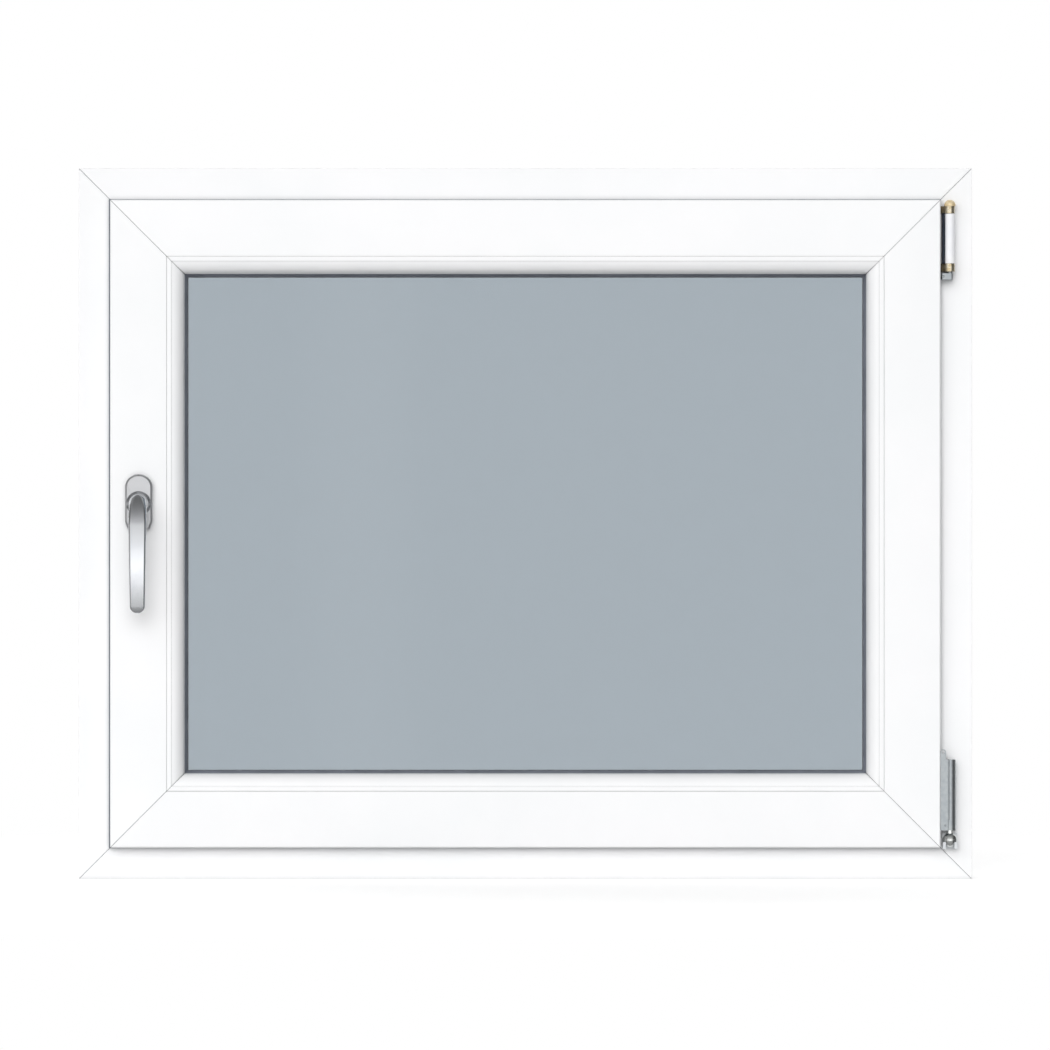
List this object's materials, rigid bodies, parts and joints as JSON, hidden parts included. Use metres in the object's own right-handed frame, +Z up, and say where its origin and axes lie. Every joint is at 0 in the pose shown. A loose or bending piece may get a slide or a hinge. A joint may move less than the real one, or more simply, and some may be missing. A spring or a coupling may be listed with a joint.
{
  "type": "tilt and turn window",
  "caption": "White plastic tilt and turn window with a double glazed sash, lever handle on the left and surface hinges on the right",
  "frame": {"origin": "middle of the frame's underside, at half the frame's depth", "axes": "X to the hinge side, Y to the weather side, Z up; the room is towards minus Y"},
  "size_m": [0.98, 0.1363, 0.78],
  "materials": {
    "white_plastic": "smooth white extruded plastic, slightly glossy",
    "gasket_rubber": "matt dark grey sealing rubber",
    "clear_glass": "clear float glass with a grey cast",
    "spacer_aluminium": "mill finish spacer bar",
    "edge_sealant": "black sealing compound",
    "packer_plastic": "moulded blue packer plastic",
    "satin_aluminium": "satin silver anodised aluminium",
    "zinc_steel": "bright zinc plated steel",
    "yellow_zinc": "yellow passivated zinc plating",
    "polished_steel": "polished steel ball",
    "white_sleeve": "moulded white sleeve",
    "weld_seam": "fused plastic of the welded corners, greyed in its groove"
  },
  "bodies": {
    "window": {"bead_bottom": "white_plastic", "bead_gasket": "gasket_rubber", "bead_handle_side": "white_plastic", "bead_hinge_side": "white_plastic", "bead_top": "white_plastic", "bottom_hinge_ball": "polished_steel", "bottom_hinge_barrel": "zinc_steel", "bottom_hinge_bearing": "zinc_steel", "bottom_hinge_strap": "zinc_steel", "drain_cap_left": "white_plastic", "drain_cap_right": "white_plastic", "frame_bottom": "white_plastic", "frame_handle_side": "white_plastic", "frame_hinge_side": "white_plastic", "frame_top": "white_plastic", "frame_welds": "weld_seam", "glass_edge_seal": "edge_sealant", "glass_packers": "packer_plastic", "glass_room_pane": "clear_glass", "glass_spacer": "spacer_aluminium", "glass_weather_pane": "clear_glass", "handle_collar": "satin_aluminium", "handle_rosette": "satin_aluminium", "overlap_gasket": "gasket_rubber", "sash_bottom": "white_plastic", "sash_handle_side": "white_plastic", "sash_hinge_side": "white_plastic", "sash_top": "white_plastic", "sash_welds": "weld_seam", "stop_gasket": "gasket_rubber", "top_hinge_base": "zinc_steel", "top_hinge_cap": "yellow_zinc", "top_hinge_lower_knuckle": "yellow_zinc", "top_hinge_pin": "zinc_steel", "top_hinge_sleeve": "white_sleeve", "top_hinge_upper_knuckle": "yellow_zinc", "weather_gasket": "gasket_rubber"},
    "handle": {"handle_lever": "satin_aluminium", "handle_spindle": "zinc_steel"}
  },
  "joints": [
    {"name": "handle_turn", "type": "hinge", "parent": "window", "child": "handle", "pos_m": [-0.4233, -0.06, 0.412], "axis": [0, -1, 0], "range_deg": [0, 180]}
  ]
}
